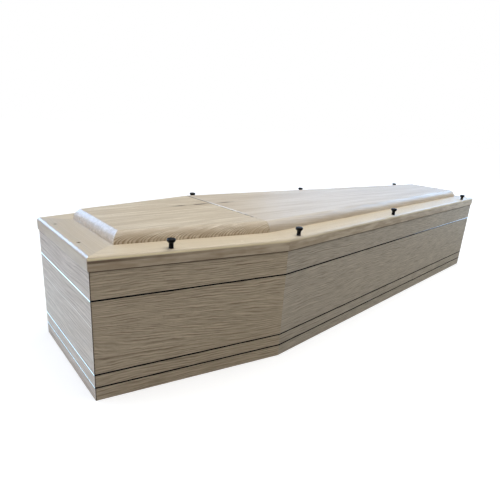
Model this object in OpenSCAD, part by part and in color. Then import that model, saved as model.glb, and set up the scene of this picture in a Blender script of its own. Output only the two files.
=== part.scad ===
// Shouldered timber coffin with a framed lid, a raised two-part panel on it and turned lid screws.
// Millimetres. Z is up, the head end lies towards -X, and the floor is z = 0.
// Every outline is the same six-sided coffin plan, moved in from the lid's outer edge.

/* [Plan] */
// Length over the lid, head edge to foot edge
lid_length = 1950; // [1700:10:2150]
// Width of the lid at the head edge
head_width = 396; // [320:2:460]
// Width of the lid at the shoulders
shoulder_width = 598; // [520:2:720]
// Width of the lid at the foot edge
foot_width = 386; // [260:2:420]
// Distance of the shoulders from the head edge
shoulder_at = 498; // [400:2:600]

/* [Body] */
// Height of the side boards
body_height = 322; // [260:1:420]
// Thickness of the side, head and foot boards
wall_thick = 18; // [15:1:25]
// Thickness of the base board
base_thick = 18; // [12:1:25]
// How far the lid stands out past the body all round
lid_overhang = 3; // [1:0.5:10]

/* [Metal inlay] */
// Heights of the three strips above the floor, at their lower edges
strip_heights = [33, 67.5, 252]; // [20:0.5:300]
// Width of a strip, seen from the side
strip_width = 4; // [3:0.5:8]
// Thickness of a strip
strip_thick = 1.5; // [1:0.1:3]
// How far a strip stands proud of the board
strip_proud = 0.3; // [0.1:0.1:0.6]

/* [Lid frame] */
// Thickness of the lid rails
rail_thick = 34; // [24:1:40]
// Width of the lid rails
rail_width = 92; // [85:1:110]
// Radius along the upper outer edge of the rails
rail_round = 8.5; // [4:0.5:12]
// Diameter of the two old fixing holes in the head rail
fixing_dia = 5; // [3:0.5:8]
// Depth of the fixing holes
fixing_depth = 2; // [1:0.5:6]

/* [Raised panel] */
// Height of the panel above the rails
panel_height = 30; // [20:1:34]
// Radius of the rounded edge, swung from the rails' top face
panel_round = 35; // [34.5:0.5:60]
// Bare lid margin at the head edge
margin_head = 80; // [60:1:84]
// Bare lid margin along the head-section sides
margin_head_side = 72; // [60:1:84]
// Bare lid margin along the foot-section sides
margin_foot_side = 75; // [60:1:84]
// Bare lid margin at the foot edge
margin_foot = 62; // [50:1:84]
// Open joint between the two parts of the panel
panel_joint = 0.8; // [0.2:0.1:2]

/* [Lid screws] */
// Distance of the screws from the lid's edge
screw_inset = 12; // [11:0.5:14]
// Diameter of the screw's head
screw_head_dia = 21; // [16:1:22]
// Height of the screw above the lid
screw_height = 24; // [18:1:30]
// Diameter of the screw's shank
shank_dia = 6; // [5:0.5:7]
// Length of the shank below the lid's top face
shank_length = 60; // [45:1:80]

/* [Hidden] */
$fn = 96;
x_head = -lid_length / 2;
x_foot = lid_length / 2;
z_top = body_height + rail_thick;
shank_tip = 6;
hole_clearance = 0.5;
// Extra length that carries a side's boxes past its corners
past = 40;
// What the panel's blank has over before its edges are rounded
blank_spare = 2;
// How far the mitre planes reach past the lid rails
mitre_spare = 5;
// Distances of the screws from the head edge, on the near side and on the far side
near_screws = [183, 547, 1102, 1818];
far_screws = [560, 1116, 1831];
// Fixing holes in the head rail: distance from the head edge, then y
fixings = [[22, 102], [20, -88]];
// Slopes of the near side in plan, and their lengths for one unit of x
slope_head = (head_width - shoulder_width) / 2 / shoulder_at;
slope_foot = (shoulder_width - foot_width) / 2 / (lid_length - shoulder_at);
run_head = sqrt(1 + slope_head * slope_head);
run_foot = sqrt(1 + slope_foot * slope_foot);
// Width of the panel's rounded edge in plan
panel_edge = panel_round - sqrt(panel_round * panel_round - panel_height * panel_height);

// y of the near side's two lines at x, moved in by d
function head_line(x, d) = -head_width / 2 + slope_head * (x - x_head) + d * run_head;
function foot_line(x, d) = -foot_width / 2 + slope_foot * (x - x_foot) + d * run_foot;
// x where the two lines meet, moved in by d_head and d_foot
function shoulder_x(d_head, d_foot) =
    (foot_line(0, d_foot) - head_line(0, d_head)) / (slope_head - slope_foot);
// The three corners of the near side, then the whole outline, anticlockwise from above
function near_corners(head, head_side, foot_side, foot) =
    let (x = [x_head + head, shoulder_x(head_side, foot_side), x_foot - foot])
    [
        [x[0], head_line(x[0], head_side)],
        [x[1], head_line(x[1], head_side)],
        [x[2], foot_line(x[2], foot_side)]
    ];
function mirrored(p) = [for (i = [len(p) - 1:-1:0]) [p[i].x, -p[i].y]];
function outline(head, head_side, foot_side, foot) =
    let (near = near_corners(head, head_side, foot_side, foot)) concat(near, mirrored(near));
function inset(d) = outline(d, d, d, d);
// Place of a near-side screw, given its distance from the head edge
function screw_place(from_head) =
    let (x = x_head + from_head)
    [x, from_head < shoulder_at ? head_line(x, screw_inset) : foot_line(x, screw_inset)];

near_places = [for (s = near_screws) screw_place(s)];
far_places = [for (s = far_screws) [screw_place(s).x, -screw_place(s).y]];
panel_outline = outline(margin_head, margin_head_side, margin_foot_side, margin_foot);
panel_blank = outline(
    margin_head - blank_spare, margin_head_side - blank_spare,
    margin_foot_side - blank_spare, margin_foot - blank_spare
);
// Sides of the outline, by the index of their first corner
NEAR_HEAD = 0;
NEAR_FOOT = 1;
FOOT = 2;
FAR_FOOT = 3;
FAR_HEAD = 4;
HEAD = 5;

// Places its children along one side: x runs along the edge, y points in, and z is up
module along_side(side, points) {
    a = points[side];
    b = points[(side + 1) % 6];
    translate([a.x, a.y, 0]) rotate([0, 0, atan2(b.y - a.y, b.x - a.x)]) children();
}

function side_length(side, points) = norm(points[(side + 1) % 6] - points[side]);

// A box along one side, past both its ends: y from y0 to y1 and z from z0 to z1
module side_box(side, points, y0, y1, z0, z1)
    along_side(side, points)
        translate([-past, y0, z0]) cube([side_length(side, points) + 2 * past, y1 - y0, z1 - z0]);

// What a round edge takes off one side, up to width in and from z0 to z1; its radius swings at z_axis
module round_edge_cut(side, points, width, z0, z1, z_axis, radius)
    difference() {
        side_box(side, points, -2 * blank_spare, width, z0, z1);
        along_side(side, points)
            translate([-past - 1, radius, z_axis])
                rotate([0, 90, 0]) cylinder(r = radius, h = side_length(side, points) + 2 * past + 2);
    }

// Keeps what lies between the mitre planes at the two ends of a side
module mitred(side) {
    outer = inset(-mitre_spare);
    inner = inset(rail_width + mitre_spare);
    next = (side + 1) % 6;
    intersection() {
        children();
        translate([0, 0, -1]) linear_extrude(z_top + 2)
            polygon([outer[side], outer[next], inner[next], inner[side]]);
    }
}

module shank_holes(dia, top, depth)
    for (p = concat(near_places, far_places))
        translate([p.x, p.y, top - depth]) cylinder(d = dia, h = depth + 1);

module wall(side) {
    points = inset(lid_overhang);
    color("tan") mitred(side) difference() {
        side_box(side, points, 0, wall_thick, 0, body_height);
        for (z = strip_heights)
            side_box(side, points, -1, strip_thick - strip_proud, z, z + strip_width);
        shank_holes(shank_dia, body_height, shank_length - rail_thick);
    }
}

module base_board()
    color("tan") linear_extrude(base_thick) polygon(inset(lid_overhang + wall_thick));

module inlay(z)
    color("silver") translate([0, 0, z]) linear_extrude(strip_width) difference() {
        polygon(inset(lid_overhang - strip_proud));
        polygon(inset(lid_overhang - strip_proud + strip_thick));
    }

module rail(side)
    color("wheat") mitred(side) difference() {
        side_box(side, inset(0), 0, rail_width, body_height, z_top);
        round_edge_cut(
            side, inset(0), rail_round, z_top - rail_round, z_top + 1, z_top - rail_round, rail_round
        );
        shank_holes(shank_dia + hole_clearance, z_top, rail_thick + 1);
        for (p = fixings)
            translate([x_head + p[0], p[1], z_top - fixing_depth])
                cylinder(d = fixing_dia, h = fixing_depth + 1);
    }

// The raised panel between two x positions, with the edges on its own sides rounded
module panel_part(x_from, x_to, sides) {
    cut_width = panel_edge + blank_spare;
    color("wheat") difference() {
        intersection() {
            translate([0, 0, z_top]) linear_extrude(panel_height) polygon(panel_blank);
            translate([x_from, -shoulder_width / 2, z_top - 1])
                cube([x_to - x_from, shoulder_width, panel_height + 2]);
        }
        for (side = sides)
            round_edge_cut(
                side, panel_outline, cut_width, z_top - 1, z_top + panel_height + 1, z_top, panel_round
            );
    }
}

module panel_head_part()
    panel_part(x_head, panel_outline[1].x - panel_joint / 2, [FAR_HEAD, HEAD, NEAR_HEAD]);

module panel_foot_part()
    panel_part(panel_outline[1].x + panel_joint / 2, x_foot, [NEAR_FOOT, FOOT, FAR_FOOT]);

// Turned screw: pointed shank, foot collar, waisted stem, flared head
module lid_screw(p) {
    head_r = screw_head_dia / 2;
    h = screw_height;
    color("black") translate([p.x, p.y, z_top]) rotate_extrude() polygon([
        [0, -shank_length], [shank_dia / 2, shank_tip - shank_length], [shank_dia / 2, 0],
        [0.58 * head_r, 0], [0.58 * head_r, 0.05 * h], [0.55 * head_r, 0.12 * h],
        [0.54 * head_r, 0.46 * h], [0.6 * head_r, 0.54 * h], [0.94 * head_r, 0.7 * h],
        [head_r, 0.76 * h], [head_r, 0.89 * h], [0.92 * head_r, 0.96 * h], [0.7 * head_r, h], [0, h]
    ]);
}

module lower_inlay() inlay(strip_heights[0]);
module middle_inlay() inlay(strip_heights[1]);
module upper_inlay() inlay(strip_heights[2]);

base_board();
wall(HEAD);  // head_board
wall(FOOT);  // foot_board
wall(NEAR_HEAD);  // near_head_side
wall(NEAR_FOOT);  // near_foot_side
wall(FAR_HEAD);  // far_head_side
wall(FAR_FOOT);  // far_foot_side
lower_inlay();
middle_inlay();
upper_inlay();
rail(HEAD);  // lid_head_rail
rail(FOOT);  // lid_foot_rail
rail(NEAR_HEAD);  // lid_near_head_rail
rail(NEAR_FOOT);  // lid_near_foot_rail
rail(FAR_HEAD);  // lid_far_head_rail
rail(FAR_FOOT);  // lid_far_foot_rail
panel_head_part();
panel_foot_part();
lid_screw(near_places[0]);  // near_screw_1
lid_screw(near_places[1]);  // near_screw_2
lid_screw(near_places[2]);  // near_screw_3
lid_screw(near_places[3]);  // near_screw_4
lid_screw(far_places[0]);  // far_screw_1
lid_screw(far_places[1]);  // far_screw_2
lid_screw(far_places[2]);  // far_screw_3
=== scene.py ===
import math

import bpy
import numpy as np
from mathutils import Matrix, Vector


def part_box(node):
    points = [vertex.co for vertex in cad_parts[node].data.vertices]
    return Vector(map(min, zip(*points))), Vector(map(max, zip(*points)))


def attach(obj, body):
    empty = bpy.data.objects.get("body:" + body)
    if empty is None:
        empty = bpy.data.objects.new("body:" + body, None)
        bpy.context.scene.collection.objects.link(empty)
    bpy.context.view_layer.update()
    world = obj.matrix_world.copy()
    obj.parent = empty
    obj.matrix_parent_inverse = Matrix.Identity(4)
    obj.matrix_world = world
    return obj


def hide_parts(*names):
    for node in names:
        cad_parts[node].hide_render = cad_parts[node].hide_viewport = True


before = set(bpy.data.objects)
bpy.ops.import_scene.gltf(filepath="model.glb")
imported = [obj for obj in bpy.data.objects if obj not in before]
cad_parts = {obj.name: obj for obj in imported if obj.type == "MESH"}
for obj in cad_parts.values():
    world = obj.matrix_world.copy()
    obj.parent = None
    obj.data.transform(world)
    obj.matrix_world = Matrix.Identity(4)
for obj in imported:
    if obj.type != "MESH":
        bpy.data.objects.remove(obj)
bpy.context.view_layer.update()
print("frame loaded:", len(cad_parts), "nodes")


def boxOf(node):
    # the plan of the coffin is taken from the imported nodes' boxes
    low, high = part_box(node)
    return np.array(low), np.array(high)


headLow, headHigh = boxOf("lid_head_rail")
footHigh = boxOf("lid_foot_rail")[1]
shoulderX = boxOf("lid_near_foot_rail")[0][0]
shoulderHalf = -boxOf("lid_near_head_rail")[0][1]
wallLow, wallHigh = boxOf("head_board")
panelHeadLow, panelHeadHigh = boxOf("panel_head_part")
panelFootLow, panelFootHigh = boxOf("panel_foot_part")

bodyTop = wallHigh[2]
lidTop = headHigh[2]
panelHeight = panelHeadHigh[2] - panelHeadLow[2]
overhang = wallLow[0] - headLow[0]
wallThick = wallHigh[0] - wallLow[0]
railWidth = headHigh[0] - headLow[0]

# corners of the lid seen from above, anticlockwise: near head, near shoulder, near foot, then the far side
lidCorners = np.array([
    [headLow[0], -headHigh[1]], [shoulderX, -shoulderHalf], [footHigh[0], -footHigh[1]],
    [footHigh[0], footHigh[1]], [shoulderX, shoulderHalf], [headLow[0], headHigh[1]],
])


def movedIn(corners, inward):
    # each side's line n.p = c becomes n.p = c + inward, and a corner is where two neighbours cross
    along = np.roll(corners, -1, axis=0) - corners
    along = along / np.linalg.norm(along, axis=1)[:, None]
    normal = np.stack([-along[:, 1], along[:, 0]], axis=1)
    offset = (normal * corners).sum(axis=1) + inward
    lines = np.stack([np.roll(normal, 1, axis=0), normal], axis=1)
    sums = np.stack([np.roll(offset, 1), offset], axis=1)
    return np.linalg.solve(lines, sums[:, :, None])[:, :, 0]


def sideFrame(corners, side):
    # a side's first corner, its length, the unit vector along it and the one inwards
    start, end = corners[side], corners[(side + 1) % len(corners)]
    length = np.linalg.norm(end - start)
    along = (end - start) / length
    return start, length, along, np.array([-along[1], along[0]])


def gridFaces(rows, columns, closedRows=False, closedColumns=False):
    # quad (i, j), (i+1, j), (i+1, j+1), (i, j+1) on a grid numbered i * columns + j
    i, j = np.meshgrid(np.arange(rows if closedRows else rows - 1),
                       np.arange(columns if closedColumns else columns - 1), indexing="ij")
    i, j = i.ravel(), j.ravel()
    k, m = (i + 1) % rows, (j + 1) % columns
    return np.stack([i * columns + j, k * columns + j, k * columns + m, i * columns + m], axis=1)


def newObject(name, data):
    made = bpy.data.objects.new(name, data)
    bpy.context.scene.collection.objects.link(made)
    return made


def valuesOf(items, name, kind=float, wide=1):
    # one property of every item, as one flat array
    values = np.zeros(len(items) * wide, kind)
    items.foreach_get(name, values)
    return values


def smoothed(mesh, sharp, flatArea=0.004):
    # soft shading except at corners sharper than the angle and round every face larger than flatArea
    mesh.shade_smooth()
    mesh.set_sharp_from_angle(angle=math.radians(sharp))
    hard = valuesOf(mesh.edges, "use_edge_sharp", bool)
    large = np.repeat(valuesOf(mesh.polygons, "area") > flatArea, valuesOf(mesh.polygons, "loop_total", np.int32))
    hard[valuesOf(mesh.loops, "edge_index", np.int32)[large]] = True
    mesh.edges.foreach_set("use_edge_sharp", hard)


boardSharp, stripSharp, screwSharp = 32, 28, 40  # degrees above which a corner stays crisp


def buildMesh(name, points, faces, sharp=boardSharp):
    # faces is a list of index lists; they are turned over if the closed shape's volume comes out negative
    mesh = bpy.data.meshes.new(name)
    mesh.from_pydata(points.tolist(), [], [list(map(int, f)) for f in faces])
    mesh.validate()
    mesh.calc_loop_triangles()
    corner = points[valuesOf(mesh.loop_triangles, "vertices", np.int32, 3).reshape(-1, 3)]
    if np.einsum("ij,ij->i", corner[:, 0], np.cross(corner[:, 1], corner[:, 2])).sum() < 0:
        mesh.flip_normals()
    smoothed(mesh, sharp)
    return newObject(name, mesh)


def drilled(piece, holes, around=32):
    # each hole is a cylinder (x, y, radius, low z, high z); the cut shape becomes the piece's own mesh
    turn = np.arange(around) / around * 2 * np.pi
    points, faces = [], []
    for x, y, radius, low, high in holes:
        start = len(points) * around * 2
        ring = np.stack([x + radius * np.cos(turn), y + radius * np.sin(turn)], axis=1)
        points.append(np.concatenate([np.c_[ring, np.full(around, low)], np.c_[ring, np.full(around, high)]]))
        faces += (gridFaces(2, around, closedColumns=True)[:, ::-1] + start).tolist()
        faces += [list(range(start + around - 1, start - 1, -1)), list(range(start + around, start + around * 2))]
    cutter = buildMesh("cutter", np.concatenate(points), faces)
    cut = piece.modifiers.new("holes", "BOOLEAN")
    cut.object, cut.operation, cut.solver = cutter, "DIFFERENCE", "EXACT"
    bpy.context.view_layer.update()
    finished = bpy.data.meshes.new_from_object(piece.evaluated_get(bpy.context.evaluated_depsgraph_get()))
    finished.name = piece.name
    smoothed(finished, boardSharp)
    piece.modifiers.clear()
    piece.data = finished
    bpy.data.objects.remove(cutter)


def pointsOf(piece):
    return valuesOf(piece.data.vertices, "co", wide=3).reshape(-1, 3)


def writeVectors(piece, name, values):
    layer = piece.data.attributes.new(name, "FLOAT_VECTOR", "POINT")
    layer.data.foreach_set("vector", values.astype(np.float32).ravel())


def grainAttribute(piece, start, along, shift):
    # grain = (distance along the board + shift, distance across it, height), in metres
    points = pointsOf(piece)
    flat = points[:, :2] - np.array(start)
    across = np.array([-along[1], along[0]])
    writeVectors(piece, "grain", np.stack([flat @ np.array(along) + shift, flat @ across, points[:, 2]], axis=1))


def endsAttribute(piece, corners, side):
    # ends = (distance from the first mitre, distance from the second, distance inwards), in metres
    start, length, along, normal = sideFrame(corners, side)
    slide = movedIn(corners, 1.0) - corners
    flat = pointsOf(piece)[:, :2] - start
    ahead, inward = flat @ along, flat @ normal
    writeVectors(piece, "ends", np.stack([
        ahead - inward * (slide[side] @ along),
        length - ahead + inward * (slide[(side + 1) % len(corners)] @ along), inward], axis=1))


def closedGrid(name, points):
    # rings of points joined up in turn, with a flat face over the first and over the last
    rows, columns = points.shape[:2]
    faces = gridFaces(rows, columns, closedColumns=True).tolist()
    faces += [list(range(columns)), list(range(rows * columns - 1, (rows - 1) * columns - 1, -1))]
    return buildMesh(name, points.reshape(-1, 3), faces)


# where a mitred board has its cross-sections near a corner, in metres from the mitre
cornerSteps = [0.0008, 0.0016, 0.0024, 0.0034, 0.0048, 0.007]


def mitredBoard(name, corners, side, profile, rounding, joint):
    # point(w, p) = corner moved in by p.inward + w along the side, at p.height, between the mitre planes;
    # near a corner an arc of radius rounding - p.inward draws it in
    profile = np.asarray(profile, float)
    inward, height = profile[:, 0], profile[:, 1]
    _, _, along, normal = sideFrame(corners, side)
    nextSide = (side + 1) % len(corners)
    slide = movedIn(corners, 1.0) - corners
    reach = np.array([0, joint] + cornerSteps)
    # the profile's outward direction, turned if the profile runs clockwise
    edge = np.roll(profile, -1, axis=0) - np.roll(profile, 1, axis=0)
    edge = edge / np.linalg.norm(edge, axis=1)[:, None]
    turns = np.roll(profile, -1, axis=0)
    area = (inward * turns[:, 1] - turns[:, 0] * height).sum()
    outward = np.stack([edge[:, 1], -edge[:, 0]], axis=1) * (1 if area > 0 else -1)
    rows = []
    for which, ahead in ((side, along), (nextSide, -along)):
        corner, shift = corners[which], slide[which]
        part = []
        for number, w in enumerate(reach):
            shape = profile - outward * joint if number == 0 else profile
            radius = np.maximum(rounding - inward, 0)
            # how far the mitre leans along the side for each metre inwards gives the corner's half angle
            beta = math.atan(abs(shift @ along))
            first = radius * (math.tan(beta) - math.sin(beta))
            a = first + w * (1 - first / reach[-1])
            inside = np.maximum(radius * math.tan(beta) - a, 0)
            pull = radius - np.sqrt(np.maximum(radius ** 2 - inside ** 2, 0))
            flat = corner + shape[:, :1] * shift + a[:, None] * ahead + pull[:, None] * normal
            part.append(np.c_[flat, shape[:, 1]])
        rows += part[::-1] if rows else part
    return closedGrid(name, np.array(rows))


def stackedPlan(name, corners, insets, heights, stations=1):
    # level(k) is the plan with its sides moved in by insets[k], at heights[k]; flat faces close both ends
    share = np.arange(stations) / stations
    levels = []
    for inset, height in zip(insets, heights):
        ring = movedIn(corners, inset)
        after = np.roll(ring, -1, axis=0)
        flat = (ring[:, None] + (after - ring)[:, None] * share[None, :, None]).reshape(-1, 2)
        levels.append(np.c_[flat, np.full(len(flat), height)])
    return closedGrid(name, np.array(levels))


def carriedRing(name, corners, profile):
    # point(i, p) = corner i of the plan moved in by p.inward, at p.height, all the way round
    rings = [movedIn(corners, inward) for inward in profile[:, 0]]
    points = np.array([np.c_[ring, np.full(len(ring), height)] for ring, height in zip(rings, profile[:, 1])])
    rows, columns = points.shape[:2]
    return buildMesh(name, points.reshape(-1, 3), gridFaces(rows, columns, True, True).tolist(), stripSharp)


def turned(name, centre, profile, ripple, around):
    # point(a, p) = centre + (r cos a, r sin a, z), with r = p.radius (1 - ripple(a, p)); its two poles close it
    turn = np.arange(around) / around * 2 * np.pi
    height = profile[1:-1, 1][:, None]
    radius = profile[1:-1, 0][:, None] * (1 - ripple(turn[None, :], height))
    rings = np.stack([centre[0] + radius * np.cos(turn), centre[1] + radius * np.sin(turn),
                      np.repeat(height, around, axis=1) + centre[2]], axis=2)
    rows = len(rings)
    poles = np.array([[centre[0], centre[1], centre[2] + profile[0, 1]],
                      [centre[0], centre[1], centre[2] + profile[-1, 1]]])
    points = np.concatenate([rings.reshape(-1, 3), poles])
    faces = gridFaces(rows, around, closedColumns=True).tolist()
    j = np.arange(around)
    k, last = (j + 1) % around, (rows - 1) * around
    low, high = np.full(around, rows * around), np.full(around, rows * around + 1)
    faces += np.stack([low, j, k], axis=1).tolist() + np.stack([high, last + k, last + j], axis=1).tolist()
    return buildMesh(name, points, faces, screwSharp)


def feed(made, feeds):
    # each feed of the node is linked if it is a socket, else set as a value
    for key, value in feeds.items():
        if isinstance(value, bpy.types.NodeSocket):
            made.id_data.links.new(value, made.inputs[key])
        else:
            made.inputs[key].default_value = value


def place(tree, kind, feeds, **settings):
    # one shader node with its settings and feeds; tree is a node tree or a socket in it
    made = (tree.id_data if isinstance(tree, bpy.types.NodeSocket) else tree).nodes.new("ShaderNode" + kind)
    for key, value in settings.items():
        setattr(made, key, value)
    feed(made, feeds)
    return made


def firstSocket(values):
    # the helpers from here on build in the tree of the first socket among their values
    return next(value for value in values if isinstance(value, bpy.types.NodeSocket))


def maths(operation, *values, clamp=False):
    return place(firstSocket(values), "Math", dict(enumerate(values)), operation=operation,
                 use_clamp=clamp).outputs[0]


def times(first, second):
    return maths("MULTIPLY", first, second)


def plus(first, second):
    return maths("ADD", first, second)


def minus(first, second):
    return maths("SUBTRACT", first, second)


def scaled(value, factor, base, clamp=False):
    return maths("MULTIPLY_ADD", value, factor, base, clamp=clamp)


def offBy(first, second):
    return maths("ABSOLUTE", minus(first, second))


def vectors(operation, *values, output=0):
    return place(values[0], "VectorMath", dict(enumerate(values)), operation=operation).outputs[output]


def ease(value, low, high, toLow=0.0, toHigh=1.0):
    # eases from toLow at low to toHigh at high; low may be the larger of the two
    feeds = {"Value": value, "From Min": low, "From Max": high, "To Min": toLow, "To Max": toHigh}
    return place(value, "MapRange", feeds, interpolation_type="SMOOTHSTEP").outputs[0]


def blend(amount, first, second):
    return place(amount, "Mix", {0: amount, 6: first, 7: second}, data_type="RGBA").outputs[2]


def joined(*values):
    return place(firstSocket(values), "CombineXYZ", dict(enumerate(values))).outputs[0]


def parted(vector):
    return place(vector, "SeparateXYZ", {0: vector}).outputs


def noise(vector, scale=1.0, detail=2.0, roughness=0.5, output=0):
    return place(vector, "TexNoise", {"Vector": vector, "Scale": scale, "Detail": detail,
                                      "Roughness": roughness}).outputs[output]


def stretched(values, sizes, detail=2.0, roughness=0.5):
    # noise in patches of the given sizes in metres; a size of 1 leaves its value as it is
    parts = [value if size == 1.0 else maths("DIVIDE", value, size) for value, size in zip(values, sizes)]
    return noise(joined(*parts), 1.0, detail, roughness)


def newGroup(name, inputs, outputs):
    # inputs are {name: default}, where None makes a vector socket; every output is a value
    tree = bpy.data.node_groups.new(name, "ShaderNodeTree")
    for label, value in inputs.items():
        kind = "NodeSocketVector" if value is None else "NodeSocketFloat"
        item = tree.interface.new_socket(name=label, in_out="INPUT", socket_type=kind)
        if value is not None:
            item.default_value = value
    for label in outputs:
        tree.interface.new_socket(name=label, in_out="OUTPUT", socket_type="NodeSocketFloat")
    return tree, tree.nodes.new("NodeGroupInput").outputs, tree.nodes.new("NodeGroupOutput")


def useGroup(tree, group, feeds, look=()):
    # an input with the name of an entry in the look takes its value from there
    shared = {item.name: look[item.name] for item in group.interface.items_tree if item.name in look}
    return place(tree, "Group", {**shared, **feeds}, node_tree=group).outputs


def growthRingGroup():
    # rings round a pith line: late = saw tooth of r / spacing, with r = |(across, height) - pith + wander noise|
    driftScale, bunchScale, bunching = 8.0, 0.35, 2.2
    tree, given, result = newGroup("growthRings", {
        "Grain": None, "pithAcross": 0.0, "pithHeight": -0.05, "spacing": 0.003, "wander": 0.006,
        "wanderLength": 0.5}, ["Late", "Ring Tone"])
    x, y, z = parted(given["Grain"])
    longX = maths("DIVIDE", x, given["wanderLength"])
    drift = noise(joined(longX, times(y, driftScale), times(z, driftScale)), output=1)
    aside, up, _ = parted(vectors("SUBTRACT", drift, (0.5, 0.5, 0.5)))
    across = plus(minus(y, given["pithAcross"]), times(aside, given["wander"]))
    height = plus(minus(z, given["pithHeight"]), times(up, given["wander"]))
    radius = maths("SQRT", plus(times(across, across), times(height, height)))
    phase = maths("DIVIDE", radius, given["spacing"])
    bunch = noise(joined(times(phase, bunchScale), 0.0, 0.0), 1.0, 1.0)
    phase = plus(phase, times(bunch, bunching))
    part = maths("FRACT", phase)
    late = times(ease(part, 0.25, 0.85), ease(part, 1.0, 0.9))
    tone = place(tree, "TexWhiteNoise", {"W": maths("FLOOR", phase)}, noise_dimensions="1D")
    feed(result, {"Late": late, "Ring Tone": tone.outputs[0]})
    return tree


def fibreGroup():
    # streaks and open pores: noise on (along / length, across / width, height / width)
    tree, given, result = newGroup("fibres", {
        "Grain": None, "streakLength": 0.09, "streakWidth": 0.0022, "poreLength": 0.008, "poreWidth": 0.0006},
                                   ["Streak", "Pore"])
    grain = parted(given["Grain"])
    width, poreWidth = given["streakWidth"], given["poreWidth"]
    streak = stretched(grain, (given["streakLength"], width, width), 3.0, 0.55)
    pore = stretched(grain, (given["poreLength"], poreWidth, poreWidth), 1.0, 0.4)
    feed(result, {"Streak": ease(streak, 0.3, 0.7), "Pore": ease(pore, 0.58, 0.72)})
    return tree


def boardEdgeGroup():
    # corner: a ragged line along each mitre, not at the shoulders; under: the shade just below the lid
    ragged, shoulderFrom, shoulderTo = 0.0016, 0.50, 0.60
    tree, given, result = newGroup("boardEdges", {
        "Grain": None, "Ends": None, "Place": None, "Streak": 0.0, "cornerWidth": 0.004}, ["Corner", "Under"])
    z = parted(given["Grain"])[2]
    first, second, _ = parted(given["Ends"])
    nearest = scaled(given["Streak"], ragged, maths("MINIMUM", first, second))
    line = ease(nearest, given["cornerWidth"], times(given["cornerWidth"], 0.45))
    fromMiddle = maths("ABSOLUTE", parted(given["Place"])[0])
    feed(result, {"Corner": times(line, ease(fromMiddle, shoulderFrom, shoulderTo)),
                  "Under": ease(z, bodyTop - 0.0045, bodyTop - 0.0015, 0.0, 0.70)})
    return tree


def railEdgeGroup():
    # side: the upright edge is a browner, blotchier cut of the same board than its top
    # a painted highlight: a paler, yellower line along the lower half of the rounded edge, strongest at the head
    # corner
    # a painted shadow line: a brown line under it, fading along the rail from the head corner
    blotchSize, curlSize, curlStrength = (0.085, 0.020, 1.0), (0.05, 0.006, 1.0), 0.9
    sheenDepth, shadowlineWander, shadowlineStrength = 0.0068, 0.002, 0.75
    tree, given, result = newGroup("railEdges", {
        "Grain": None, "Ends": None, "sideStrength": 1.0, "sheenStrength": 1.0, "shadowlineHeight": 0.3},
                                   ["Side", "Sheen", "Shadowline"])
    x, _, z = parted(given["Grain"])
    inward = parted(given["Ends"])[2]
    blotch = stretched((x, z, 7.0), blotchSize)
    curl = stretched((x, z, 3.0), curlSize)
    amount = scaled(ease(blotch, 0.36, 0.62), 0.55, 0.10)
    amount = scaled(minus(curl, 0.5), curlStrength, amount, clamp=True)
    onSide = times(ease(inward, 0.0022, 0.0006), given["sideStrength"])
    feed(result, {"Side": times(amount, onSide)})
    # painted highlight along the lower half of the rounded edge
    line = ease(offBy(z, lidTop - sheenDepth), 0.0036, 0.0012)
    outside = ease(inward, 0.0065, 0.0045, 0.0, given["sheenStrength"])
    sheen = times(times(line, ease(x, 0.90, 0.05, 0.40, 1.0)), outside)
    feed(result, {"Sheen": sheen})
    # painted shadow line under the rounded edge
    uneven = noise(joined(times(x, 30.0), 0.0, 0.0))
    height = scaled(uneven, shadowlineWander, given["shadowlineHeight"])
    line = times(ease(offBy(z, height), 0.0044, 0.0016), ease(x, 0.32, 0.04))
    outside = times(ease(inward, 0.004, 0.002), shadowlineStrength)
    feed(result, {"Shadowline": times(line, outside)})
    return tree


def roundMarkGroup():
    # a small round mark: full inside half its radius, gone at the radius
    tree, given, result = newGroup("roundMark", {"Place": None, "At": None, "Radius": 0.003, "Strength": 1.0},
                                   ["Mask"])
    away = vectors("DISTANCE", given["Place"], given["At"], output="Value")
    feed(result, {"Mask": ease(away, given["Radius"], times(given["Radius"], 0.5), 0.0, given["Strength"])})
    return tree


def jointLineGroup():
    # the glued joint between two boards of the panel: a thin line that bends a little along x, wider and
    # darker between heavyFrom and heavyTo
    bending, thin, thick, faint, strong = 0.006, 0.0012, 0.0085, 0.27, 0.68
    tree, given, result = newGroup("jointLine", {"Place": None, "joint": 0.06, "heavyFrom": 0.0, "heavyTo": 0.1},
                                   ["Line"])
    x, y, _ = parted(given["Place"])
    uneven = noise(joined(times(x, 22.0), 0.0, 0.0))
    drift = noise(joined(times(x, 3.0), 5.0, 0.0), 1.0, 1.0)
    bend = scaled(drift, bending, minus(given["joint"], bending / 2))
    heavy = times(ease(minus(x, given["heavyFrom"]), -0.05, 0.03),
                  ease(minus(x, given["heavyTo"]), 0.04, -0.04))
    width = scaled(heavy, thick, thin)
    line = ease(maths("DIVIDE", offBy(y, bend), width), 1.0, 0.30)
    level = scaled(heavy, strong, faint)
    feed(result, {"Line": times(times(line, level), ease(uneven, 0.30, 0.58))})
    return tree


growthRings, fibres, boardEdges = growthRingGroup(), fibreGroup(), boardEdgeGroup()
railEdges, roundMark, jointLine = railEdgeGroup(), roundMarkGroup(), jointLineGroup()


def newMaterial(name, feeds):
    # a material with one Principled shader; returns it, its tree, the shader and the output node
    made = bpy.data.materials.new(name)
    made.use_nodes = True
    tree = made.node_tree
    tree.nodes.clear()
    shader = place(tree, "BsdfPrincipled", feeds)
    ending = place(tree, "OutputMaterial", {"Surface": shader.outputs[0]})
    return made, tree, shader, ending


def attributeOf(tree, name):
    return place(tree, "Attribute", {}, attribute_name=name, attribute_type="GEOMETRY").outputs["Vector"]


def objectPlace(tree):
    return place(tree, "TexCoord", {}).outputs["Object"]


def raised(shader, height, depth, strength=1.0):
    bump = place(height, "Bump", {"Height": height, "Distance": depth, "Strength": strength})
    feed(shader, {"Normal": bump.outputs[0]})


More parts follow.
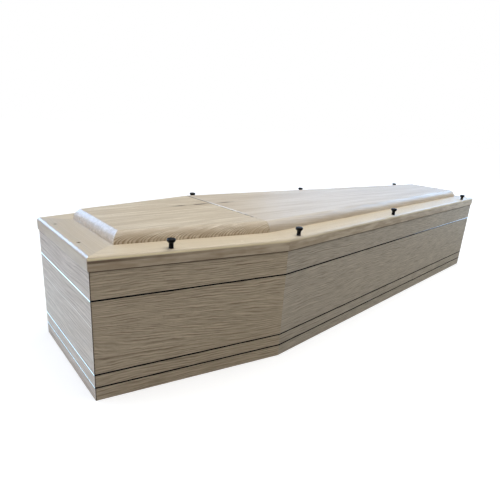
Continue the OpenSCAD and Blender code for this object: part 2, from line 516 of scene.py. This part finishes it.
def woodSurface(shader, colour, amount, pore, look):
    # colour, roughness rising with the dark share, and relief = ringRelief * dark share - poreRelief * pore
    feed(shader, {"Base Color": colour, "Roughness": ease(amount, 0.0, 1.0, *look["roughness"])})
    relief = minus(times(amount, look["ringRelief"]), times(pore, look["poreRelief"]))
    raised(shader, relief, look["reliefDepth"], look["reliefStrength"])


def veneerMaterial(name, look):
    # short wavy streaks along the board as on limed ash, leaning in a middle belt, with small open pores:
    # height is lifted by ripple and swell noise and by lean * exp(-((z - beltHeight) / beltWidth)^2)
    made, tree, shader, _ = newMaterial(name, {})
    x, y, z = parted(attributeOf(tree, "grain"))
    where = objectPlace(tree)
    ripple = stretched((x, y, z), look["rippleSize"], 1.0)
    swell = stretched((x, look["swellSlice"], z), look["swellSize"], 1.0)
    fromBelt = maths("DIVIDE", minus(z, look["beltHeight"]), look["beltWidth"])
    belt = maths("EXPONENT", times(times(fromBelt, fromBelt), -1.0))
    fromMiddle = maths("ABSOLUTE", parted(where)[0])
    lean = times(times(belt, look["lean"]), minus(fromMiddle, look["leanFrom"]))
    rise = plus(times(ripple, look["rippleHeight"]), times(swell, look["swellHeight"]))
    lifted = plus(minus(z, lean), rise)
    grain = joined(x, y, lifted)
    rings = useGroup(tree, growthRings, {"Grain": grain}, look)
    fine = useGroup(tree, fibres, {"Grain": grain}, look)
    stretch = ease(stretched((x, y, lifted), look["waveSize"], 1.0), 0.34, 0.62)
    broad = stretched((x, y, lifted), look["broadSize"])
    wave = times(minus(rings["Late"], look["waveMiddle"]), stretch)
    amount = scaled(wave, look["waveStrength"], look["darkShare"])
    amount = scaled(minus(fine["Streak"], 0.5), look["streakStrength"], amount)
    amount = scaled(minus(broad, 0.5), look["broadStrength"], amount, clamp=True)
    colour = blend(amount, look["pale"], look["dark"])
    colour = blend(times(fine["Pore"], look["poreStrength"]), colour, look["pore"])
    if "lightLine" in look:
        off = minus(lifted, look["lightLine"])
        line = ease(maths("ABSOLUTE", off), *look["lineFade"], 0.0, look["lineStrength"])
        colour = blend(line, colour, look["line"])
        shade = ease(offBy(off, look["shadeAbove"]), *look["shadeFade"], 0.0, look["shadeStrength"])
        colour = blend(shade, colour, look["dark"])
    edges = useGroup(tree, boardEdges, {
        "Grain": attributeOf(tree, "grain"), "Ends": attributeOf(tree, "ends"), "Place": where,
        "Streak": fine["Streak"]}, look)
    colour = blend(times(edges["Corner"], look["cornerStrength"]), colour, look["corner"])
    colour = blend(edges["Under"], colour, look["under"])
    woodSurface(shader, colour, amount, fine["Pore"], look)
    return made


def timberMaterial(name, look):
    # ring lines, fibre streaks, broad tone patches and pores; with a joint in its look it is a glued panel,
    # where oblique cuts across the fibres show the rings more, else it is a rail with its edges
    made, tree, shader, _ = newMaterial(name, {})
    grain, where, strength = attributeOf(tree, "grain"), objectPlace(tree), look["ringStrength"]
    panelled = "joint" in look
    if panelled:
        far = maths("GREATER_THAN", parted(grain)[1], look["joint"])
        shifts = [times(far, shift) for shift in look["staveShift"]]
        grain = vectors("ADD", grain, joined(*shifts, 0.0))
        cut = maths("ABSOLUTE", parted(place(tree, "TexCoord", {}).outputs["Normal"])[0])
        strength = ease(cut, *look["cutFade"], look["ringStrength"], look["cutStrength"])
    rings = useGroup(tree, growthRings, {"Grain": grain}, look)
    fine = useGroup(tree, fibres, {"Grain": grain}, look)
    broad = stretched(parted(grain), (look["toneLength"], look["toneWidth"], look["toneWidth"]))
    variety = scaled(rings["Ring Tone"], look["ringVariety"], 1 - look["ringVariety"])
    amount = times(times(rings["Late"], variety), strength)
    amount = scaled(fine["Streak"], look["streakStrength"], amount, clamp=True)
    colour = blend(amount, look["pale"], look["dark"])
    patch = times(ease(broad, *look["toneFade"]), look["toneStrength"])
    colour = blend(patch, colour, look["tone"])
    colour = blend(times(fine["Pore"], look["poreStrength"]), colour, look["pore"])
    if panelled:
        colour = blend(useGroup(tree, jointLine, {"Place": where}, look)["Line"], colour, look["glue"])
        mask, tint = look["seam"]
        colour = blend(mask(where, look["seamAt"]), colour, tint)
    else:
        edges = useGroup(tree, railEdges, {"Grain": grain, "Ends": attributeOf(tree, "ends")}, look)
        # after the browner upright edge come a painted highlight on the rounded edge and a painted shadow line
        # under it
        for part in ("Side", "Sheen", "Shadowline"):
            colour = blend(edges[part], colour, look[part.lower()])
        for x, y, radius, share, tint in look["marks"]:
            spot = useGroup(tree, roundMark, {"Place": where, "At": (headLow[0] + x, y, lidTop),
                                              "Radius": radius, "Strength": share})
            colour = blend(spot["Mask"], colour, tint)
    woodSurface(shader, colour, amount, fine["Pore"], look)
    return made


def seamShade(where, seamAt):
    # painted shade in the open seam: broken dark dashes along it, a firm line in the far third and none by the
    # near edge
    pitch, narrowest, wander = 60.0, 0.0032, 0.0065
    x, y, _ = parted(where)
    dash = noise(joined(9.0, times(y, pitch), 2.0))
    reach = scaled(dash, wander, narrowest)
    line = ease(maths("DIVIDE", minus(seamAt, x), reach), 1.1, 0.6)
    farPart = ease(y, 0.045, 0.085, 0.0, 0.95)
    nearPart = times(ease(dash, 0.42, 0.52), ease(y, -0.190, -0.150, 0.0, 0.80))
    return times(line, maths("MAXIMUM", farPart, nearPart))


def seamHighlight(where, seamAt):
    # a painted highlight on the middle third of the seam's far edge, where its taken-off corner would catch the
    # light
    pitch, narrowest, wander, strength = 45.0, 0.0030, 0.0045, 0.9
    x, y, _ = parted(where)
    sheen = noise(joined(3.0, times(y, pitch), 6.0))
    reach = scaled(sheen, wander, narrowest)
    line = ease(maths("DIVIDE", minus(x, seamAt), reach), 1.1, 0.7)
    span = times(ease(y, -0.125, -0.055), ease(y, 0.10, 0.06, 0.35, 1.0))
    return times(times(line, span), strength)


def inlayMaterial():
    # bright plated strip with faint drawing lines along it
    made, tree, shader, _ = newMaterial("platedStrip", {"Metallic": 1.0})
    where = objectPlace(tree)
    drawn = noise(vectors("MULTIPLY", where, (4.0, 4.0, 1800.0)))
    cloud = noise(where, 14.0)
    feed(shader, {"Base Color": blend(cloud, (0.60, 0.63, 0.66, 1), (0.70, 0.73, 0.76, 1))})
    feed(shader, {"Roughness": ease(drawn, 0.3, 0.7, 0.07, 0.16)})
    raised(shader, drawn, 0.00002, 0.5)
    return made


def screwMaterial():
    # black enamel, a little uneven
    made, tree, shader, _ = newMaterial("blackEnamel", {"Specular IOR Level": 0.22})
    cloud = noise(objectPlace(tree), 260.0, 3.0)
    feed(shader, {"Base Color": blend(cloud, (0.0025, 0.0025, 0.003, 1), (0.006, 0.006, 0.007, 1)),
                  "Roughness": ease(cloud, 0.3, 0.7, 0.34, 0.50)})
    raised(shader, cloud, 0.00008, 0.4)
    return made


# colours are linear, sizes are metres, strengths run from 0 to 1
sideLook = {
    "pale": (0.600, 0.500, 0.358, 1), "dark": (0.270, 0.208, 0.138, 1), "pore": (0.240, 0.185, 0.125, 1),
    "corner": (0.080, 0.058, 0.040, 1), "under": (0.10, 0.075, 0.055, 1),
    "cornerWidth": 0.0042, "cornerStrength": 0.9,
    "rippleSize": (0.030, 1.0, 0.016), "rippleHeight": 0.0042,
    "swellSize": (0.30, 1.0, 0.09), "swellHeight": 0.030, "swellSlice": 4.0,
    "beltHeight": 0.160, "beltWidth": 0.065, "lean": 0.13, "leanFrom": 0.64,
    "pithAcross": -0.02, "pithHeight": -0.30, "spacing": 0.0062, "wander": 0.004, "wanderLength": 0.25,
    "streakLength": 0.055, "streakWidth": 0.0032, "poreLength": 0.012, "poreWidth": 0.0009,
    "waveSize": (0.085, 1.0, 0.0085), "broadSize": (0.30, 1.0, 0.030), "waveMiddle": 0.42, "darkShare": 0.40,
    "waveStrength": 0.78, "streakStrength": 0.58, "broadStrength": 0.35, "poreStrength": 0.25,
    "roughness": (0.48, 0.62), "ringRelief": -0.7, "poreRelief": 1.0, "reliefDepth": 0.0006, "reliefStrength": 0.7,
}
sideVeneer = veneerMaterial("sideVeneer", sideLook)
footSideVeneer = veneerMaterial("footSideVeneer", {
    **sideLook, "pale": (0.565, 0.490, 0.386, 1), "dark": (0.262, 0.215, 0.160, 1), "lean": 0.0,
    "spacing": 0.0056, "waveStrength": 0.55, "broadStrength": 0.40,
})
endVeneer = veneerMaterial("endVeneer", {
    **sideLook, "pale": (0.600, 0.513, 0.430, 1), "dark": (0.345, 0.282, 0.226, 1), "lean": 0.0,
    "spacing": 0.0090, "waveStrength": 0.52, "streakStrength": 0.55, "streakLength": 0.10,
    # the pale line along each mitre here is a painted highlight where the rounded corner catches the light
    "corner": (0.74, 0.68, 0.60, 1), "cornerStrength": 0.6,
    "line": (0.76, 0.71, 0.63, 1), "lightLine": 0.207, "lineFade": (0.0022, 0.0008), "lineStrength": 0.75,
    "shadeAbove": 0.0034, "shadeFade": (0.0018, 0.0006), "shadeStrength": 0.45,
})
timberLook = {
    "poreLength": 0.008, "poreWidth": 0.0006, "poreStrength": 0.25, "ringVariety": 0.35, "toneFade": (0.38, 0.66),
    "roughness": (0.42, 0.54), "ringRelief": -0.5, "poreRelief": 0.6, "reliefDepth": 0.0003, "reliefStrength": 0.6,
}
fixingHoles = ((0.022, 0.102), (0.020, -0.088))  # small holes in the head rail: from the head edge, then y
railLook = {
    **timberLook,
    "pale": (0.640, 0.545, 0.405, 1), "dark": (0.460, 0.365, 0.245, 1), "tone": (0.560, 0.460, 0.330, 1),
    "pore": (0.36, 0.27, 0.18, 1), "side": (0.330, 0.238, 0.150, 1), "sideStrength": 0.95,
    # the paler, yellower line on the rounded edge is a painted highlight
    "sheen": (0.90, 0.79, 0.52, 1), "sheenStrength": 0.85,
    # the brown line under the rounded edge is a painted shadow line
    "shadowline": (0.130, 0.085, 0.050, 1), "shadowlineHeight": lidTop - 0.0140,
    "pithAcross": -0.25, "pithHeight": 0.290, "spacing": 0.0052, "wander": 0.010, "wanderLength": 0.90,
    "ringStrength": 0.34, "streakLength": 0.12, "streakWidth": 0.0030, "streakStrength": 0.30,
    "toneLength": 0.16, "toneWidth": 0.018, "toneStrength": 0.45,
}
sideRailTimber = timberMaterial("sideRailTimber", {**railLook, "marks": (
    # from the head edge, y, radius, strength, colour
    (0.743, -0.2606, 0.0030, 0.55, (0.33, 0.24, 0.16, 1)),
    (1.308, -0.2185, 0.0026, 0.45, (0.36, 0.28, 0.20, 1)),
    (0.369, -0.2540, 0.0042, 0.50, (0.80, 0.72, 0.60, 1)),
)})
endRailTimber = timberMaterial("endRailTimber", {
    **railLook, "pale": (0.545, 0.465, 0.355, 1), "dark": (0.400, 0.320, 0.220, 1),
    "tone": (0.490, 0.400, 0.290, 1), "side": (0.410, 0.318, 0.245, 1), "sideStrength": 0.75,
    "pithAcross": -0.40, "wander": 0.006, "toneStrength": 0.25, "shadowlineHeight": 0.0, "sheenStrength": 0.0,
    "marks": tuple((x, y, 0.0066, 0.80, (0.200, 0.155, 0.090, 1)) for x, y in fixingHoles),
})
panelLook = {
    **timberLook, "pore": (0.42, 0.33, 0.23, 1), "staveShift": (3.1, 0.23), "cutFade": (0.015, 0.09),
}
panelHeadTimber = timberMaterial("panelHeadTimber", {
    **panelLook,
    "pale": (0.750, 0.662, 0.528, 1), "dark": (0.345, 0.262, 0.170, 1), "tone": (0.500, 0.405, 0.288, 1),
    "glue": (0.100, 0.075, 0.055, 1), "joint": 0.062,
    "heavyFrom": panelHeadHigh[0] - 0.13, "heavyTo": panelHeadHigh[0] - 0.010,
    # the seam's dark dashes are painted shade in the open joint
    "seam": (seamShade, (0.100, 0.075, 0.055, 1)), "seamAt": panelHeadHigh[0],
    "pithAcross": -0.370, "pithHeight": 0.350, "spacing": 0.0019, "wander": 0.012, "wanderLength": 0.50,
    "ringStrength": 0.50, "cutStrength": 1.0, "streakLength": 0.16, "streakWidth": 0.0065,
    "streakStrength": 0.52, "toneLength": 0.22, "toneWidth": 0.016, "toneStrength": 0.75,
})
panelFootTimber = timberMaterial("panelFootTimber", {
    **panelLook,
    "pale": (0.635, 0.555, 0.455, 1), "dark": (0.420, 0.338, 0.245, 1), "tone": (0.450, 0.360, 0.260, 1),
    "glue": (0.150, 0.110, 0.080, 1), "joint": 0.057,
    "heavyFrom": panelHeadHigh[0] + 0.03, "heavyTo": panelHeadHigh[0] + 0.09,
    # the pale line along the seam's edge is a painted highlight
    "seam": (seamHighlight, (0.86, 0.83, 0.78, 1)), "seamAt": panelFootLow[0],
    "pithAcross": -0.450, "pithHeight": 0.300, "spacing": 0.0040, "wander": 0.016, "wanderLength": 0.90,
    "ringStrength": 0.34, "cutStrength": 0.40, "streakLength": 0.25, "streakWidth": 0.0055,
    "streakStrength": 0.34, "toneLength": 0.38, "toneWidth": 0.017, "toneStrength": 0.70,
})
plated, blackEnamel = inlayMaterial(), screwMaterial()
print("materials ready")


def finishPiece(piece, material, node):
    piece.data.materials.clear()
    piece.data.materials.append(material)
    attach(piece, "root")
    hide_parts(node)


shankBoxes = {node: boxOf(node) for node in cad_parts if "screw" in node}
shankPlaces = {node: (low[:2] + high[:2]) / 2 for node, (low, high) in shankBoxes.items()}
shankLow = min(low[2] for low, high in shankBoxes.values())
shankRadius = 0.003
cutBeyond = 0.01  # how far a drilled hole's cutter runs past the wood
screwSides = {"nearHead": ["near_screw_1"], "nearFoot": ["near_screw_2", "near_screw_3", "near_screw_4"],
              "farFoot": ["far_screw_1", "far_screw_2", "far_screw_3"]}


def screwHoles(key, radius, low, high):
    return [(*shankPlaces[node], radius, low, high) for node in screwSides.get(key, [])]


body = {
    "lips": 0.0003,  # easing of the groove edges
    "easing": 0.0008,  # easing of the boards' lower edges
    "topEasing": 0.0020,
    "grooveDepth": 0.0012,
    "cornerRounding": 0.0012,
    "joint": 0.0001,
    "grainStep": 3.7,  # how far each board's figure is shifted from the last one's
    "baseEasing": 0.0005,
    "baseGrain": 31.0,
}
bodyCorners = movedIn(lidCorners, overhang)
stripBoxes = {label: boxOf(label + "_inlay") for label in ("lower", "middle", "upper")}


def wallProfile(v):
    # outer face from the floor up with a groove at each strip, then down the inner face
    points = [[v["easing"], 0.0], [0.0, v["easing"]]]
    for low, high in stripBoxes.values():
        points += [[0.0, low[2] - v["lips"]], [v["lips"], low[2]], [v["grooveDepth"], low[2]],
                   [v["grooveDepth"], high[2]], [v["lips"], high[2]], [0.0, high[2] + v["lips"]]]
    return points + [[0.0, bodyTop - v["topEasing"]], [v["topEasing"], bodyTop],
                     [wallThick - v["easing"], bodyTop], [wallThick, bodyTop - v["easing"]],
                     [wallThick, v["easing"]], [wallThick - v["easing"], 0.0]]


def madeBoard(name, corners, side, profile, v, holes):
    # the mitred board with its holes and its two attributes
    piece = mitredBoard(name, corners, side, profile, v["cornerRounding"], v["joint"])
    if holes:
        drilled(piece, holes)
    start, _, along, _ = sideFrame(corners, side)
    grainAttribute(piece, start, along, side * v["grainStep"])
    endsAttribute(piece, corners, side)
    return piece


boards = (  # side of the plan, wall's node, rail's node
    ("nearHead", "near_head_side", "lid_near_head_rail"), ("nearFoot", "near_foot_side", "lid_near_foot_rail"),
    ("foot", "foot_board", "lid_foot_rail"), ("farFoot", "far_foot_side", "lid_far_foot_rail"),
    ("farHead", "far_head_side", "lid_far_head_rail"), ("head", "head_board", "lid_head_rail"),
)
for side, (key, node, _) in enumerate(boards):
    holes = screwHoles(key, shankRadius, shankLow, bodyTop + cutBeyond)
    piece = madeBoard("wall." + key, bodyCorners, side, wallProfile(body), body, holes)
    sheet = endVeneer if key in ("head", "foot") else footSideVeneer if "Foot" in key else sideVeneer
    finishPiece(piece, sheet, node)

baseCorners = movedIn(bodyCorners, wallThick)
baseLow, baseHigh = boxOf("base_board")
baseEasing = body["baseEasing"]
baseBoard = stackedPlan("baseBoard", baseCorners, [baseEasing, 0.0, 0.0, baseEasing],
                        [baseLow[2], baseLow[2] + baseEasing, baseHigh[2] - baseEasing, baseHigh[2]])
grainAttribute(baseBoard, (0, 0), (1, 0), body["baseGrain"])
endsAttribute(baseBoard, baseCorners, 0)
finishPiece(baseBoard, footSideVeneer, "base_board")

strip = {
    "crown": 0.00012,  # how far the face's edges lie behind its middle
    "faceShare": 0.97,  # the face's share of the strip's height
    "edge": 0.0002,  # where the face turns into the groove, behind the wall's face
    "steps": 9,
}


def stripProfile(v, low, high):
    # a very shallow crown over the face, inward = proud edge + crown * s^2, then back into the groove
    proud = overhang - (low[0] - headLow[0])
    across = np.linspace(-1, 1, v["steps"])
    middle, half = (low[2] + high[2]) / 2, (high[2] - low[2]) / 2
    crown = np.stack([-proud + v["crown"] * across ** 2, middle + half * v["faceShare"] * across], axis=1)
    return np.concatenate([crown, [[v["edge"], high[2]], [body["grooveDepth"], high[2]],
                                   [body["grooveDepth"], low[2]], [v["edge"], low[2]]]])


for label, (low, high) in stripBoxes.items():
    piece = carriedRing("strip." + label, bodyCorners, stripProfile(strip, low, high))
    finishPiece(piece, plated, label + "_inlay")
print("body built")

lid = {
    "roundOver": 0.0085,
    "roundSteps": 13,
    "cornerRounding": 0.0035,
    "joint": 0.0002,
    "easing": 0.0020,  # lower edges
    "innerEasing": 0.0005,  # the top edge under the panel
    "clearance": 0.00025,  # round the screws' shanks
    "holeDepth": 0.002,
    "holeRadius": 0.0025,
    "grainStep": 5.3,
}


def railProfile(v):
    # eased lower edge, upright face, quarter round of radius roundOver, flat top, upright inner face
    r, e, inner = v["roundOver"], v["easing"], v["innerEasing"]
    turn = np.linspace(np.pi, np.pi / 2, v["roundSteps"])
    return np.concatenate([
        [[e, bodyTop], [e * 0.3, bodyTop + e * 0.3], [0.0, bodyTop + e]],
        np.stack([r + r * np.cos(turn), lidTop - r + r * np.sin(turn)], axis=1),
        [[railWidth - inner, lidTop], [railWidth, lidTop - inner],
         [railWidth, bodyTop + e], [railWidth - e, bodyTop]],
    ])


for side, (key, _, node) in enumerate(boards):
    holes = screwHoles(key, shankRadius + lid["clearance"], bodyTop - cutBeyond, lidTop + cutBeyond)
    if key == "head":
        holes += [(headLow[0] + x, y, lid["holeRadius"], lidTop - lid["holeDepth"], lidTop + cutBeyond)
                  for x, y in fixingHoles]
    piece = madeBoard("rail." + key, lidCorners, side, railProfile(lid), lid, holes)
    finishPiece(piece, endRailTimber if key in ("head", "foot") else sideRailTimber, node)

panel = {
    # in from the lid's edge: near head side, near foot side, foot, far foot side, far head side, head
    "margins": (0.072, 0.075, footHigh[0] - panelFootHigh[0], 0.075, 0.072, panelHeadLow[0] - headLow[0]),
    "radius": 0.035,
    "curveSteps": 22,
    "arris": 0.0012,  # easing where the curve meets the top
    "arrisSteps": ((0.45, 0.2), (1.1, 0.04), (1.8, 0.0)),  # onwards and below the top, in arrises
    "stations": 40,
    "seamChamfer": 0.0044,  # taken off the seam's top edges where the joint is most open
    "headShare": 0.15,  # the head part's share of it
    "footShare": 1.0,
    "seamTight": -0.165,  # y where the open seam closes towards the near edge
    "seamOpen": -0.07,
    "farClosing": 0.80,  # how much it closes again beyond farFrom, over farRun
    "farFrom": 0.05,
    "farRun": 0.04,
    "footGrain": 9.0,
}


def edgeCurve(v):
    # inward = R (1 - cos t), height = R sin t up to the panel's height, then a small easing on to the flat
    top = math.asin((panelHeight - v["arris"] * 0.5) / v["radius"])
    t = np.linspace(0, top, v["curveSteps"])
    curve = np.stack([v["radius"] * (1 - np.cos(t)), v["radius"] * np.sin(t)], axis=1)
    ease = np.array(v["arrisSteps"]) * v["arris"] * (1, -1) + (curve[-1, 0], panelHeight)
    return np.concatenate([curve, ease])


panelCorners = movedIn(lidCorners, np.array(panel["margins"]))
curve = edgeCurve(panel)


def seamInset(v, share):
    # the seam side stands upright and only its top edge is taken off
    return np.maximum(curve[:, 1] - (panelHeight - v["seamChamfer"] * share), 0)


def tightened(piece, v, seamAt):
    # the taken-off edge narrows to nothing from seamOpen to seamTight: x = seam + (x - seam) * smoothstep(y)
    band, lowest = 0.006, lidTop + 0.02
    points = pointsOf(piece)
    share = np.clip((points[:, 1] - v["seamTight"]) / (v["seamOpen"] - v["seamTight"]), 0, 1)
    closing = v["farClosing"] * np.clip((points[:, 1] - v["farFrom"]) / v["farRun"], 0, 1)
    share = share * share * (3 - 2 * share) * (1 - closing)
    near = (np.abs(points[:, 0] - seamAt) < band) & (points[:, 2] > lowest)
    points[near, 0] = seamAt + (points[near, 0] - seamAt) * share[near]
    piece.data.vertices.foreach_set("co", points.ravel())
    piece.data.update()


def atX(side, x):
    # the point of a panel side at the given x
    start, end = panelCorners[side], panelCorners[side + 1]
    return start + (end - start) * (x - start[0]) / (end[0] - start[0])


seamHead, seamFoot = panelHeadHigh[0], panelFootLow[0]
headPlan = np.array([atX(0, seamHead), atX(0, seamHead) * (1, -1), panelCorners[5], panelCorners[0]])
footPlan = np.array([atX(1, seamFoot), panelCorners[2], panelCorners[3], atX(1, seamFoot) * (1, -1)])
edge = curve[:, 0]
headInsets = np.stack([seamInset(panel, panel["headShare"]), edge, edge, edge], axis=1)
footInsets = np.stack([edge, edge, edge, seamInset(panel, panel["footShare"])], axis=1)
levels = lidTop + curve[:, 1]
headPart = stackedPlan("panel.headPart", headPlan, headInsets, levels, panel["stations"])
footPart = stackedPlan("panel.footPart", footPlan, footInsets, levels, panel["stations"])
tightened(headPart, panel, seamHead)
tightened(footPart, panel, seamFoot)
grainAttribute(headPart, (0, 0), (1, 0), 0.0)
grainAttribute(footPart, (0, 0), (1, 0), panel["footGrain"])
finishPiece(headPart, panelHeadTimber, "panel_head_part")
finishPiece(footPart, panelFootTimber, "panel_foot_part")
print("lid built")

screw = {
    "headRadius": 0.0105, "height": 0.024, "shankTip": 0.006, "tipShare": 0.35, "neck": 0.0005,
    "flutes": 24, "fluteDepth": 0.018, "rim": (0.76, 0.93), "around": 96,
    # the head from the wood up: share of its radius, share of its height
    "head": ((0.56, 0.0), (0.58, 0.01), (0.58, 0.05), (0.565, 0.08), (0.55, 0.12), (0.54, 0.22), (0.535, 0.34),
             (0.535, 0.44), (0.55, 0.50), (0.60, 0.545), (0.74, 0.61), (0.88, 0.675), (0.965, 0.72),
             (0.995, 0.76), (0.995, 0.87), (0.97, 0.915), (0.90, 0.955), (0.78, 0.978), (0.62, 0.99),
             (0.60, 0.982), (0.30, 0.986), (0.0, 0.992)),
}


def screwProfile(v, shankLength):
    # (radius, height) from the pointed tip of the shank up to the middle of the head
    shank = [[0.0, -shankLength], [shankRadius * v["tipShare"], v["shankTip"] * v["tipShare"] - shankLength],
             [shankRadius, v["shankTip"] - shankLength], [shankRadius, -v["neck"]], [shankRadius, 0.0]]
    return np.concatenate([shank, np.array(v["head"]) * (v["headRadius"], v["height"])])


def rimFlutes(turn, height):
    # shallow flutes on the rim only: depth * (1 + cos(n a)) / 2 inside the rim's height
    low, high = screw["rim"]
    onRim = ((height > low * screw["height"]) & (height < high * screw["height"])).astype(float)
    return onRim * screw["fluteDepth"] * (1 + np.cos(screw["flutes"] * turn)) / 2


for node, at in shankPlaces.items():
    piece = turned(node.replace("_", "."), (at[0], at[1], lidTop),
                   screwProfile(screw, lidTop - shankLow), rimFlutes, screw["around"])
    finishPiece(piece, blackEnamel, node)
print("screws turned")

studio = {
    "floorSize": 60.0, "cardHeight": 0.002,
    "worldLight": (0.03, 0.03, 0.03, 1), "worldSeen": (1.0, 1.0, 1.0, 1),
    "floorDark": (0.49, 0.49, 0.49, 1), "floorPale": (0.50, 0.50, 0.50, 1),
    "floorGlow": 0.62, "glowFrom": 1.4, "glowTo": 3.6,  # the floor fades to white between these distances
}
lights = {
    # name: place, aim, size, colour, watts, seen by matt surfaces, seen by glossy ones
    "window": ((-2.9, 2.6, 2.3), (-0.4, 0, 0.3), (3.4, 2.8), (0.70, 0.83, 1.0), 112, True, True),
    "headFill": ((-3.6, -0.2, 0.9), (-0.9, 0, 0.2), (2.0, 1.6), (0.92, 0.84, 0.88), 29, True, True),
    "overhead": ((0.2, -0.3, 3.1), (0.1, 0, 0.3), (3.0, 2.4), (1.0, 1.0, 0.97), 98, True, True),
    "beyondFoot": ((4.4, 2.6, 1.3), (0.6, 0, 0.35), (3.4, 2.2), (0.38, 0.62, 1.0), 55, True, True),
    "frontFoot": ((3.2, -2.4, 1.15), (0.6, 0, 0.2), (2.4, 1.8), (0.82, 0.91, 1.0), 62, True, False),
    "frontWarm": ((-0.4, -4.0, 1.4), (0.0, 0, 0.2), (3.0, 2.0), (1.0, 0.62, 0.22), 6, True, False),
    "skyGlint": ((-1.8, 3.6, 1.8), (-0.85, 0, 0.38), (2.0, 1.4), (0.24, 0.52, 1.0), 132, False, True),
    "footGlint": ((4.2, -0.1, 1.9), (0.6, 0, 0.38), (2.2, 1.4), (0.28, 0.58, 1.0), 88, False, True),
}
cards = {
    # name: low corner, high corner, shade, glow; the strips mirror them
    "darkCard": ((-4.0, -9.0), (2.18, -0.20), (0.006, 0.006, 0.007, 1), 0.0),
    "footCard": ((2.20, -2.0), (5.5, 0.4), (0.55, 0.70, 0.85, 1), 1.2),
    "headCard": ((-1.35, -0.18), (-0.985, 1.2), (0.66, 0.84, 0.92, 1), 1.2),
}


def flatSheet(name, low, high, height):
    # one rectangle at the given height
    return buildMesh(name, np.array([[low[0], low[1], height], [high[0], low[1], height],
                                     [high[0], high[1], height], [low[0], high[1], height]]), [[0, 1, 2, 3]])


def makeFloor(v):
    half = v["floorSize"] / 2
    floor = flatSheet("floor", (-half, -half), (half, half), 0.0)
    made, tree, shader, ending = newMaterial("paleFloor", {"Roughness": 0.9, "Specular IOR Level": 0.1})
    where = objectPlace(tree)
    cloud = noise(where, 3.0, 3.0)
    feed(shader, {"Base Color": blend(cloud, v["floorDark"], v["floorPale"])})
    seen = place(tree, "LightPath", {}).outputs["Is Camera Ray"]
    away = vectors("LENGTH", where, output="Value")
    level = ease(away, v["glowFrom"], v["glowTo"], v["floorGlow"], 1.0)
    glow = place(tree, "Emission", {"Strength": times(seen, level)})
    both = place(tree, "AddShader", {0: shader.outputs[0], 1: glow.outputs[0]})
    feed(ending, {"Surface": both.outputs[0]})
    floor.data.materials.append(made)


def makeWorld(v):
    # a dim world for lighting, white where the camera sees it
    world = bpy.data.worlds.new("studio")
    bpy.context.scene.world = world
    world.use_nodes = True
    tree = world.node_tree
    tree.nodes.clear()
    lit = place(tree, "Background", {"Color": v["worldLight"]})
    seen = place(tree, "Background", {"Color": v["worldSeen"]})
    ray = place(tree, "LightPath", {}).outputs["Is Camera Ray"]
    mixed = place(tree, "MixShader", {0: ray, 1: lit.outputs[0], 2: seen.outputs[0]})
    place(tree, "OutputWorld", {"Surface": mixed.outputs[0]})


def softLight(name, stand, target, size, colour, power, matt, glossy):
    data = bpy.data.lights.new(name, "AREA")
    data.shape, data.size, data.size_y = "RECTANGLE", size[0], size[1]
    data.color, data.energy = colour, power
    lamp = newObject(name, data)
    lamp.location = stand
    lamp.rotation_euler = (Vector(target) - Vector(stand)).to_track_quat("-Z", "Y").to_euler()
    lamp.visible_camera, lamp.visible_diffuse, lamp.visible_glossy = False, matt, glossy


def makeCard(name, low, high, shade, glow):
    # a flat card just above the floor that only glossy surfaces see
    card = flatSheet(name, low, high, studio["cardHeight"])
    made = newMaterial(name, {"Base Color": shade, "Roughness": 0.9, "Specular IOR Level": 0.0,
                              "Emission Color": shade, "Emission Strength": glow})[0]
    card.data.materials.append(made)
    for ray in ("camera", "diffuse", "shadow", "transmission", "volume_scatter"):
        setattr(card, "visible_" + ray, False)


makeFloor(studio)
makeWorld(studio)
for name, values in cards.items():
    makeCard(name, *values)
for name, values in lights.items():
    softLight(name, *values)

cameraSet = {"place": (-1.23635, -1.00364, 0.63857), "yaw": 48.681, "pitch": -17.299, "roll": 3.968,
             "lens": 28.836, "sensor": 36.0}


def makeCamera(v):
    # ahead = (cos p cos y, cos p sin y, sin p); right and up are then rolled about it
    yaw, pitch, roll = (math.radians(v[key]) for key in ("yaw", "pitch", "roll"))
    ahead = Vector((math.cos(pitch) * math.cos(yaw), math.cos(pitch) * math.sin(yaw), math.sin(pitch)))
    right = ahead.cross(Vector((0, 0, 1))).normalized()
    up = right.cross(ahead)
    x = right * math.cos(roll) + up * math.sin(roll)
    y = up * math.cos(roll) - right * math.sin(roll)
    data = bpy.data.cameras.new("camera")
    data.lens, data.sensor_width = v["lens"], v["sensor"]
    camera = newObject("camera", data)
    turn = Matrix((x, y, -ahead)).transposed().to_4x4()
    turn.translation = Vector(v["place"])
    camera.matrix_world = turn
    bpy.context.scene.camera = camera


makeCamera(cameraSet)
bpy.context.scene.view_settings.view_transform = "Standard"
print("studio set")
